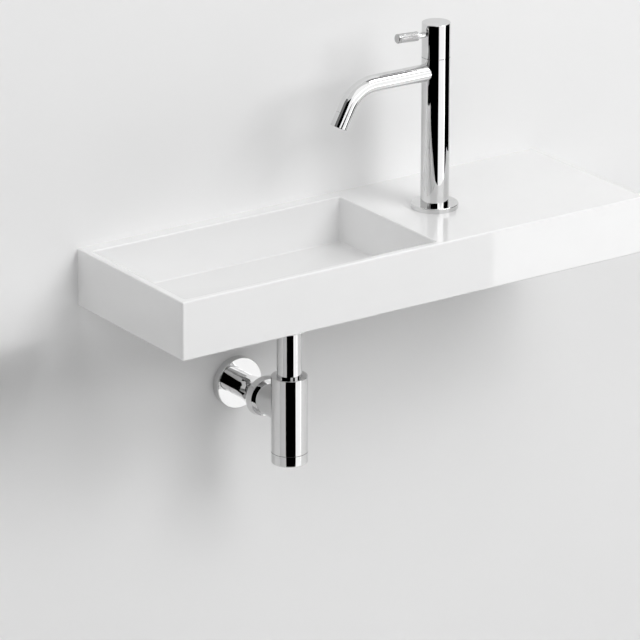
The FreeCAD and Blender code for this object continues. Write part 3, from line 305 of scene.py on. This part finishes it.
def outline(corners: list[Point], steps: int = 6) -> np.ndarray:
    """Points round a half section whose corners are (radius, length, rounding).

    A rounded corner is a circular arc that touches both sides: its centre lies on the corner's bisector, and
    its ends are rounding / tan(half the corner's angle) from the corner. Each straight stretch gets a support
    point near both ends, which keeps its shading flat.

    Args:
        corners: Corners in order, closing on themselves, in millimetres.
        steps: Pieces in each arc.

    Returns:
        Points as rows of (radius, length).
    """
    points = np.array([corner[:2] for corner in corners])
    run = []
    for number, corner in enumerate(points):
        rounding = corners[number][2]
        if not rounding:
            run.append(corner[None, :])
            continue
        back = points[number - 1] - corner
        ahead = points[(number + 1) % len(points)] - corner
        back, ahead = back / np.linalg.norm(back), ahead / np.linalg.norm(ahead)
        half = math.acos(float(np.clip(back @ ahead, -1.0, 1.0))) / 2.0
        middle = (back + ahead) / np.linalg.norm(back + ahead)
        centre = corner + middle * rounding / math.sin(half)
        sweep = (math.pi / 2.0 - half) * np.linspace(-1.0, 1.0, steps + 1)[:, None]
        square = ahead - middle * (ahead @ middle)
        square /= np.linalg.norm(square)
        run.append(centre - rounding * (np.cos(sweep) * middle - np.sin(sweep) * square))
    ring = np.concatenate(run)
    ahead = np.roll(ring, -1, axis=0) - ring
    size = np.linalg.norm(ahead, axis=1)[:, None]
    step = np.where(size > SUPPORT_ROOM * SUPPORT, SUPPORT / np.maximum(size, SUPPORT), 0.0)
    supported = np.stack([ring, ring + ahead * step, ring + ahead * (1.0 - step)], axis=1)
    keep = np.concatenate([np.ones_like(size), step, step], axis=1) > 0.0
    return supported[keep]


def lathe(section: np.ndarray, axis: Axis, columns: int) -> np.ndarray:
    """Surface of a half section turned about an axis.

    Args:
        section: Rows of (radius, length) in millimetres.
        axis: Axis to turn about.
        columns: Steps in a full turn.

    Returns:
        Grid of points, section by turn by 3, in metres.
    """
    return axis.place(section[:, :1], section[:, 1:], round_angles(columns))


def zigzag(phase: np.ndarray) -> np.ndarray:
    """Triangle wave: 1 at each whole number, falling evenly to 0 halfway between."""
    return np.abs(2.0 * np.mod(phase, 1.0) - 1.0)


def make_piece(name: str, grid: np.ndarray, body: Body, slot: Slot, node: str,
               finish: Finish | None = None) -> None:
    """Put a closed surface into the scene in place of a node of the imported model.

    Rows and columns of the grid both close on themselves. Rows that shrink to a point are welded into a pole.

    Args:
        name: Name of the piece.
        grid: Points as rows by columns by 3, in metres.
        body: Body that carries the piece.
        slot: Slot that it belongs to.
        node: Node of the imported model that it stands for.
        finish: What it wears, where that isn't the slot's own finish.
    """
    rows, columns = grid.shape[:2]
    row, column = np.arange(rows)[:, None], np.arange(columns)[None, :]
    below, beside = (row + 1) % rows, (column + 1) % columns
    corners = (row * columns + column, row * columns + beside,
               below * columns + beside, below * columns + column)
    faces = np.stack(np.broadcast_arrays(*corners), axis=-1).reshape(-1, 4)
    mesh = bpy.data.meshes.new(name)
    mesh.from_pydata(grid.reshape(-1, 3).tolist(), [], faces.tolist())
    shell = bmesh.new()
    shell.from_mesh(mesh)
    bmesh.ops.remove_doubles(shell, verts=shell.verts, dist=WELD)
    bmesh.ops.recalc_face_normals(shell, faces=shell.faces)
    shell.to_mesh(mesh)
    shell.free()
    mesh.polygons.foreach_set("use_smooth", np.ones(len(mesh.polygons), dtype=bool))
    mesh.set_sharp_from_angle(angle=SHARP_EDGE)
    mesh.materials.append((finish or FINISHES[slot]).material())
    piece = bpy.data.objects.new(name, mesh)
    bpy.context.scene.collection.objects.link(piece)
    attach(piece, body.value)
    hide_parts(node)
    LOG.info("%s: %d faces", name, len(mesh.polygons))


def dress_node(name: str, slot: Slot) -> None:
    """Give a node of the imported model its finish.

    Args:
        name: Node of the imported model.
        slot: Slot whose finish it wears.
    """
    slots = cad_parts[name].data.materials
    slots.clear()
    slots.append(FINISHES[slot].material())
    LOG.info("%s: dressed as %s", name, slot.value)


@dataclass
class Assembly:
    """A sub-assembly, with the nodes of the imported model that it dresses, by slot."""

    wears: ClassVar[dict[Slot, tuple[str, ...]]] = {}

    def build(self) -> None:
        """Make pieces that stand for nodes; a sub-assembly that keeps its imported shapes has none."""

    def dress(self) -> None:
        """Give each node the finish of its slot."""
        for slot, names in self.wears.items():
            for name in names:
                dress_node(name, slot)


@dataclass
class Basin(Assembly):
    """The glazed casting."""

    wears: ClassVar[dict[Slot, tuple[str, ...]]] = {Slot.GLAZE: ("basin_body",)}


@dataclass
class Drain(Assembly):
    """Waste, bottle trap and outlet."""

    wears: ClassVar[dict[Slot, tuple[str, ...]]] = {
        Slot.CHROME: ("waste_body", "waste_grid", "waste_screw", "coupling_nut", "inlet_tube", "trap_top_nut",
                      "trap_body", "trap_cup", "outlet_nut", "wall_pipe", "wall_flange"),
        Slot.RUBBER: ("waste_top_seal", "waste_under_seal", "coupling_seal", "trap_top_seal", "trap_cup_seal",
                      "outlet_seal"),
        Slot.BRASS: ("waste_lock_nut",),
        Slot.PLASTIC: ("waste_friction_washer",),
    }


@dataclass
class Tap(Assembly):
    """Pillar tap with its turning head and knurled lever; sizes in millimetres."""

    wears: ClassVar[dict[Slot, tuple[str, ...]]] = {
        Slot.CHROME: ("base_flange", "tap_column", "handle_cap", "lever_stud"),
        Slot.BRASS: ("tap_lock_nut", "headpart_body", "spindle"),
        Slot.RUBBER: ("base_seal", "aerator_seal", "headpart_seal"),
        Slot.PLASTIC: ("top_hat_washer", "aerator_insert"),
        Slot.DISC: ("fixed_disc", "moving_disc"),
        Slot.ZINC: ("clamp_washer",),
    }
    foot: Point = (85.0, -95.0, 30.0)
    spout_height: float = 143.5
    spout_radius: float = 8.8
    spout_bore: float = 6.0
    spout_root: float = 11.3
    spout_straight: float = 76.0
    spout_bend: float = 36.0
    spout_angle: float = math.radians(62.0)
    spout_drop: float = 7.5
    spout_rows: int = 45
    spout_columns: int = 128
    seam: float = 0.25
    sleeve_length: float = 15.0
    sleeve_bore: float = 7.6
    sleeve_mouth: float = 6.5
    sleeve_lip: float = 1.5
    lever_height: float = 182.1
    lever_tilt: float = math.radians(2.8)
    grip_radius: float = 4.75
    grip_start: float = 23.1
    grip_length: float = 24.9
    grip_chamfer: float = 0.6
    grip_bore: float = 2.4
    grip_bore_length: float = 12.3
    knurl_depth: float = 0.32
    knurl_count: int = 20
    knurl_pitch: float = 2.3
    knurl_margin: float = 1.5
    knurl_fade: float = 0.6
    knurl_steps: int = 10
    tail_radius: float = 10.475
    tail_bore: float = 6.0
    tail_top: float = 19.0
    tail_nut_low: float = -27.0
    tail_relief: float = 2.0
    tail_relief_depth: float = 0.8
    tail_connector: float = 20.0
    tail_pitch: float = 1.814
    tail_rows: int = 134
    tail_columns: int = 96

    @property
    def bend_end(self) -> float:
        """Where the spout's bend ends, along its centre line."""
        return self.spout_straight + self.spout_bend * self.spout_angle

    @property
    def spout_end(self) -> float:
        """Where the spout's tube ends and the sleeve starts, along its centre line."""
        return self.bend_end + self.spout_drop

    def build(self) -> None:
        """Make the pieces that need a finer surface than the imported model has."""
        self.build_spout()
        self.build_sleeve()
        self.build_grip()
        self.build_tail()

    def spout_place(self, length: np.ndarray) -> tuple[np.ndarray, np.ndarray]:
        """Centre line of the spout and its slope.

        The line runs level to the bend, follows an arc down through the bend and goes on straight along the
        arc's last direction.

        Args:
            length: Distances along the line from the tap's axis.

        Returns:
            Points of the line in millimetres, and the angle that it has turned down at each.
        """
        turn = np.clip((length - self.spout_straight) / self.spout_bend, 0.0, self.spout_angle)
        level = np.minimum(length, self.spout_straight)
        beyond = np.maximum(length - self.bend_end, 0.0)
        out = level + self.spout_bend * np.sin(turn) + beyond * math.cos(self.spout_angle)
        down = self.spout_bend * (1.0 - np.cos(turn)) + beyond * math.sin(self.spout_angle)
        x, y, z = self.foot
        line = np.stack([x - out, np.full_like(out, y), z + self.spout_height - down], axis=-1)
        return line, turn

    def build_spout(self) -> None:
        """Bent tube: a circle carried along the centre line, out along its skin and back along its bore.

        A point at an angle on the circle is the centre plus radius * (cos(angle) * up + sin(angle) * back),
        where up is square to the line in the plane of the bend. The skin draws in at the tip, where it meets
        the sleeve.
        """
        end = self.spout_end
        run = np.concatenate([
            np.array([self.spout_root, self.spout_root + SUPPORT]),
            np.linspace(self.spout_straight, self.bend_end, self.spout_rows),
            np.array([end - self.seam - SUPPORT, end - self.seam, end])])
        skin = np.full_like(run, self.spout_radius)
        skin[-1] -= self.seam
        length = np.concatenate([run, run[::-1]])
        radius = np.concatenate([skin, np.full_like(run, self.spout_bore)])
        line, turn = self.spout_place(length)
        up = np.stack([-np.sin(turn), np.zeros_like(turn), np.cos(turn)], axis=-1)
        angle = round_angles(self.spout_columns)[..., None]
        ring = np.cos(angle) * up[:, None, :] + np.sin(angle) * np.array(INTO_WALL)
        grid = (line[:, None, :] + radius[:, None, None] * ring) * MM
        make_piece("spout_tube", grid, Body.FIXTURE, Slot.CHROME, "spout")

    def build_sleeve(self) -> None:
        """Sleeve of the aerator: a turned ring with a fine seam above and a rounded lip below."""
        line, _ = self.spout_place(np.array([self.spout_end]))
        axis = Axis(tuple(line[0]), (-math.cos(self.spout_angle), 0.0, -math.sin(self.spout_angle)))
        outer, end = self.spout_radius, self.sleeve_length
        shelf = end - self.sleeve_lip
        section = outline([
            (self.sleeve_bore, 0.0, 0.0), (outer - self.seam, 0.0, 0.0), (outer, self.seam, 0.0),
            (outer, end, self.sleeve_lip / 2.0), (self.sleeve_mouth, end, self.seam),
            (self.sleeve_mouth, shelf, 0.0), (self.sleeve_bore, shelf, 0.0)])
        make_piece("aerator_sleeve", lathe(section, axis, self.spout_columns), Body.FIXTURE, Slot.CHROME,
                   "aerator_housing")

    def build_grip(self) -> None:
        """Knurled grip: a turned rod cut by two sets of crossing helical grooves.

        Along the grip's length s and round its angle a, the two sets follow count * a / turn + s / pitch and
        count * a / turn - s / pitch. Each groove is deepest where its set is a whole number, with sides that
        follow the square of a triangle wave, and the deeper of the two cuts counts. The cut fades out towards
        both ends.
        """
        x, y, z = self.foot
        axis = Axis((x, y, z + self.lever_height),
                    (-math.cos(self.lever_tilt), 0.0, math.sin(self.lever_tilt)))
        start, end = self.grip_start, self.grip_start + self.grip_length
        chamfer, skin, bore = self.grip_chamfer, self.grip_radius, self.grip_bore
        cut_start, cut_end = start + self.knurl_margin, end - self.knurl_margin
        steps = int((cut_end - cut_start) / self.knurl_pitch * self.knurl_steps)
        wall = np.linspace(cut_end, cut_start, steps)
        bore_end = start + self.grip_bore_length
        length = np.concatenate([
            [end, end, end - chamfer], wall, [start + chamfer, start, start, bore_end, bore_end]])[:, None]
        radius = np.concatenate([
            [0.0, skin - chamfer, skin], np.full(steps, skin),
            [skin, skin - chamfer, bore, bore, 0.0]])[:, None]
        angle = round_angles(self.knurl_count * self.knurl_steps)
        turns, rise = self.knurl_count * angle / FULL_TURN, length / self.knurl_pitch
        inside = np.minimum(length - cut_start, cut_end - length)
        fade = np.where(radius == skin, np.clip(inside / self.knurl_fade, 0.0, 1.0), 0.0)
        cut = self.knurl_depth * fade * np.maximum(zigzag(turns + rise), zigzag(turns - rise)) ** 2
        # The grip wears the darker knurl chrome: painted shade of its grooves.
        make_piece("knurled_grip", axis.place(radius - cut, length, angle), Body.TAP_HEAD, Slot.CHROME,
                   "lever_grip", KNURL)

    def build_tail(self) -> None:
        """Tail of the tap with its connector thread.

        The thread is a helix: the skin sinks by the depth times a triangle wave of
        length / pitch - angle / turn, which fades out at both ends of the connector.
        """
        axis = Axis(self.foot, UPWARDS)
        relief = self.tail_radius - self.tail_relief_depth
        thread_top = self.tail_nut_low - self.tail_relief
        thread_low = thread_top - self.tail_connector
        end = thread_low - self.tail_relief_depth
        wall = np.linspace(thread_low, thread_top, self.tail_rows)
        section = np.concatenate([
            [(self.tail_bore, end), (relief, end)],
            np.stack([np.full_like(wall, self.tail_radius), wall], axis=-1),
            [(relief, thread_top), (relief, self.tail_nut_low), (self.tail_radius, self.tail_nut_low),
             (self.tail_radius, self.tail_top), (self.tail_bore, self.tail_top)]])
        radius, length = section[:, :1], section[:, 1:]
        angle = round_angles(self.tail_columns)
        inside = np.minimum(length - thread_low, thread_top - length)
        fade = np.where(radius == self.tail_radius, np.clip(inside / self.tail_pitch, 0.0, 1.0), 0.0)
        cut = self.tail_relief_depth * fade * zigzag(length / self.tail_pitch - angle / FULL_TURN)
        make_piece("threaded_tail", axis.place(radius - cut, length, angle), Body.FIXTURE, Slot.BRASS,
                   "tap_tail")


class Glow(Enum):
    """Brightness of the studio's sheets; 0 is black."""

    BLACK_CARD = 0.0
    GREY_CARD = 0.20
    SOFT_BOX = 1.25
    SOFT_BOX_GLOW = 1.95
    SOFT_BOX_CORE = 3.2
    STRIP_LIGHT = 9.0

    def material(self) -> bpy.types.Material:
        """Build the material, or hand back the one already built.

        Returns:
            The material.
        """
        name = self.name.lower()
        found = bpy.data.materials.get(name)
        if found:
            return found
        made = bpy.data.materials.new(name)
        made.use_nodes = True
        tree = made.node_tree
        tree.nodes.clear()
        glow = add_node(tree, "ShaderNodeEmission", {"Strength": self.value})
        add_node(tree, "ShaderNodeOutputMaterial", {"Surface": glow.outputs["Emission"]})
        return made


@dataclass(frozen=True)
class Sheet:
    """A flat sheet of the studio, with its corners anticlockwise from its front."""

    name: str
    corners: tuple[Point, ...]

    def build(self, material: bpy.types.Material) -> bpy.types.Object:
        """Put the sheet into the scene.

        Args:
            material: What it is made of.

        Returns:
            The new object.
        """
        mesh = bpy.data.meshes.new(self.name)
        mesh.from_pydata(self.corners, [], [range(len(self.corners))])
        mesh.materials.append(material)
        sheet = bpy.data.objects.new(self.name, mesh)
        bpy.context.scene.collection.objects.link(sheet)
        return sheet


@dataclass(frozen=True)
class Card(Sheet):
    """A sheet that shows only in polished surfaces and casts no shade."""

    glow: Glow

    def hang(self) -> None:
        """Build the card and hide it from all but mirrored rays."""
        sheet = self.build(self.glow.material())
        sheet.visible_camera = sheet.visible_diffuse = sheet.visible_shadow = False


@dataclass(frozen=True)
class Flag(Sheet):
    """A black sheet that only keeps lamp light off what lies behind it."""

    def hang(self) -> None:
        """Build the flag and hide it from all but the lamps."""
        sheet = self.build(Glow.BLACK_CARD.material())
        sheet.visible_camera = sheet.visible_diffuse = sheet.visible_glossy = False


def upright(start: Place, end: Place, low: float, high: float) -> tuple[Point, ...]:
    """Corners of an upright sheet between two places on plan."""
    return (*start, low), (*end, low), (*end, high), (*start, high)


def level(left: float, right: float, front: float, back: float, height: float) -> tuple[Point, ...]:
    """Corners of a level sheet that faces up."""
    return (left, front, height), (right, front, height), (right, back, height), (left, back, height)


FLOOR = -0.86
# The soft box folds once on plan: from its start past its corner to its end.
BOX_START = (-0.043, -0.70)
BOX_CORNER = (0.867, -1.23)
BOX_END = (1.75, -2.01)
BOX_TOP = 1.25
# Height below which the box is brighter, for the gleam on the right of the basin's front.
BOX_STEP = -0.20
SHEETS: tuple[Card | Flag, ...] = (
    Card("soft_box_left", upright(BOX_START, BOX_CORNER, FLOOR, BOX_TOP), Glow.SOFT_BOX),
    Card("soft_box_right", upright(BOX_CORNER, BOX_END, BOX_STEP, BOX_TOP), Glow.SOFT_BOX),
    Card("soft_box_low", upright(BOX_CORNER, BOX_END, FLOOR, BOX_STEP), Glow.SOFT_BOX_CORE),
    # Just before the soft box: the white strip below the tap, which the deck mirrors from the column.
    Card("soft_box_glow", ((-0.043, -0.695, 0.22), (0.867, -1.225, 0.47), (0.867, -1.225, 0.64),
                           (-0.043, -0.695, 0.36)), Glow.SOFT_BOX_GLOW),
    Card("soft_box_high", upright((-0.36, -0.70), BOX_START, 0.17, BOX_TOP), Glow.SOFT_BOX),
    Card("black_card_wall", upright((-0.45, -0.004), (-0.60, -0.30), -0.13, 0.12), Glow.BLACK_CARD),
    Card("black_card_left", upright((-0.60, -0.30), (-0.28, -0.53), -0.10, 0.25), Glow.BLACK_CARD),
    # The broad black strip on the column.
    Card("black_card_near", ((-0.201, -0.26, 0.0), (0.011, -0.417, -0.06), (0.011, -0.417, 0.19),
                             (-0.03, -0.387, 0.155), (-0.201, -0.26, 0.155)), Glow.BLACK_CARD),
    # The black patch on the outlet, which the wall flange mirrors.
    Card("black_card_pipe", upright((-0.351, -0.265), (-0.243, -0.330), -0.306, -0.10), Glow.BLACK_CARD),
    # The dark streak and its grey side at the spout's tip.
    Card("black_card_tip", upright((-0.53, -0.345), (-0.31, -0.63), 0.25, 0.56), Glow.BLACK_CARD),
    Card("grey_card_tip", upright((-0.53, -0.004), (-0.53, -0.345), 0.24, 0.65), Glow.GREY_CARD),
    # The black strip on the bottle of the trap.
    Card("black_card_lower", upright((-1.42, -0.99), (0.044, -1.69), -0.83, -0.55), Glow.BLACK_CARD),
    # The narrow black strip on the column's right.
    Card("black_card_right", ((0.75, -0.755, -0.33), (0.75, -0.005, -0.33), (0.75, -0.005, 0.45),
                              (0.75, -0.86, 0.45)), Glow.BLACK_CARD),
    Card("grey_card_top", level(0.3, 2.4, -0.75, -0.30, 1.9), Glow.GREY_CARD),
    # The thin highlights along the basin's rounded edges.
    Card("strip_lamp", ((0.30, -0.77, 0.87), (1.10, -0.77, 0.87), (1.10, -0.55, 1.01), (0.30, -0.55, 1.01)),
         Glow.STRIP_LIGHT),
    # The wall's shade below the basin's left end.
    Flag("black_flag", ((-0.60, -0.14, -0.05), (-0.31, -0.14, -0.035), (-0.31, -0.022, -0.035),
                        (-0.60, -0.04, -0.05))),
)


@dataclass(frozen=True)
class Lamp:
    """A square soft lamp, placed by its direction from the basin in degrees, and its power in watts."""

    name: str
    azimuth: float
    elevation: float
    width: float
    power: float
    distance: float = 3.0

    def build(self, aim: Vector) -> None:
        """Hang the lamp and turn it to what it lights.

        Args:
            aim: Point that it faces, in metres.
        """
        azimuth, elevation = math.radians(self.azimuth), math.radians(self.elevation)
        way = Vector((math.sin(azimuth) * math.cos(elevation), -math.cos(azimuth) * math.cos(elevation),
                      math.sin(elevation)))
        data = bpy.data.lights.new(self.name, "AREA")
        data.size = self.width
        data.energy = self.power
        lamp = bpy.data.objects.new(self.name, data)
        lamp.location = aim + way * self.distance
        lamp.rotation_euler = (-way).to_track_quat("-Z", "Y").to_euler()
        lamp.visible_glossy = False
        bpy.context.scene.collection.objects.link(lamp)


@dataclass(frozen=True)
class Viewpoint:
    """The photograph's camera: a long lens, above and to the left, with its angles in degrees."""

    place: Point = (-2.5780, -3.7572, 1.5682)
    down: float = 20.141
    turn: float = -34.560
    lens_mm: float = 266.40
    sensor_mm: float = 36.0

    def build(self) -> None:
        """Set the camera up and make it the scene's own."""
        data = bpy.data.cameras.new("viewpoint")
        data.lens = self.lens_mm
        data.sensor_width = self.sensor_mm
        view = bpy.data.objects.new("viewpoint", data)
        view.location = self.place
        view.rotation_euler = (math.radians(RIGHT_ANGLE - self.down), 0.0, math.radians(self.turn))
        bpy.context.scene.collection.objects.link(view)
        bpy.context.scene.camera = view


@dataclass
class Studio:
    """Wall, floor, light and camera round the part, in metres."""

    paint: str = "#F0F0F0"
    paint_roughness: float = 0.9
    backdrop: str = "#E6E6E6"
    ambient: float = 0.02
    half_width: float = 5.0
    wall_top: float = 3.2
    wall_face: float = 0.0004
    floor_front: float = -8.0
    floor_back: float = 6.0
    aim: Point = (0.0, -0.1, 0.0)
    lamps: tuple[Lamp, ...] = (
        Lamp("key_lamp", azimuth=24.0, elevation=33.0, width=1.7, power=45.5),
        Lamp("high_lamp", azimuth=9.0, elevation=52.0, width=1.3, power=19.0),
        Lamp("low_lamp", azimuth=64.0, elevation=14.0, width=1.2, power=11.0),
        Lamp("side_lamp", azimuth=-57.0, elevation=36.0, width=2.0, power=23.0),
        Lamp("back_lamp", azimuth=172.0, elevation=3.0, width=1.5, power=24.0),
    )

    def paint_material(self, name: str) -> bpy.types.Material:
        """Matt paint whose rear side lets the view through.

        Args:
            name: Name of the material.

        Returns:
            The material.
        """
        made = bpy.data.materials.new(name)
        made.use_nodes = True
        tree = made.node_tree
        shader = tree.nodes["Principled BSDF"]
        shader.inputs["Base Color"].default_value = linear(self.paint)
        shader.inputs["Roughness"].default_value = self.paint_roughness
        shader.inputs["Specular IOR Level"].default_value = 0.0
        side = add_node(tree, "ShaderNodeNewGeometry")
        clear = add_node(tree, "ShaderNodeBsdfTransparent")
        mix = add_node(tree, "ShaderNodeMixShader", {
            0: side.outputs["Backfacing"], 1: shader.outputs["BSDF"], 2: clear.outputs["BSDF"]})
        tree.links.new(mix.outputs["Shader"], tree.nodes["Material Output"].inputs["Surface"])
        return made

    def build(self) -> None:
        """Set up wall, floor, sheets, lamps, world and camera."""
        left, right = -self.half_width, self.half_width
        wall = Sheet("wall", upright((left, self.wall_face), (right, self.wall_face), FLOOR, self.wall_top))
        # Without a shadow of its own, the wall lets the lamp behind it light the part's back.
        wall.build(self.paint_material("painted_plaster_wall")).visible_shadow = False
        floor = Sheet("floor", level(left, right, self.floor_front, self.floor_back, FLOOR))
        floor.build(self.paint_material("pale_floor"))
        for sheet in SHEETS:
            sheet.hang()
        for lamp in self.lamps:
            lamp.build(Vector(self.aim))
        self.build_world()
        Viewpoint().build()

    def build_world(self) -> None:
        """Even light from all round, seen directly and in polished surfaces as a pale backdrop."""
        made = bpy.data.worlds.new("studio")
        bpy.context.scene.world = made
        made.use_nodes = True
        tree = made.node_tree
        path = add_node(tree, "ShaderNodeLightPath")
        seen = path.outputs["Is Camera Ray"]
        for kind in ("Is Glossy Ray", "Is Transmission Ray"):
            seen = add_node(tree, "ShaderNodeMath", {0: seen, 1: path.outputs[kind]},
                            operation="MAXIMUM").outputs[0]
        dim = (self.ambient, self.ambient, self.ambient, 1.0)
        shade = add_node(tree, "ShaderNodeMix", {"Factor": seen, "A": dim, "B": linear(self.backdrop)},
                         data_type="RGBA")
        tree.links.new(shade.outputs[2], tree.nodes["Background"].inputs["Color"])


def main() -> None:
    """Build and dress the part, then the studio."""
    logging.basicConfig(level=logging.INFO, format="%(name)s %(message)s")
    bpy.context.scene.view_settings.view_transform = "Standard"
    for assembly in (Basin(), Drain(), Tap()):
        assembly.build()
        assembly.dress()
    Studio().build()
    bpy.context.view_layer.update()


if __name__ == "__main__":
    main()
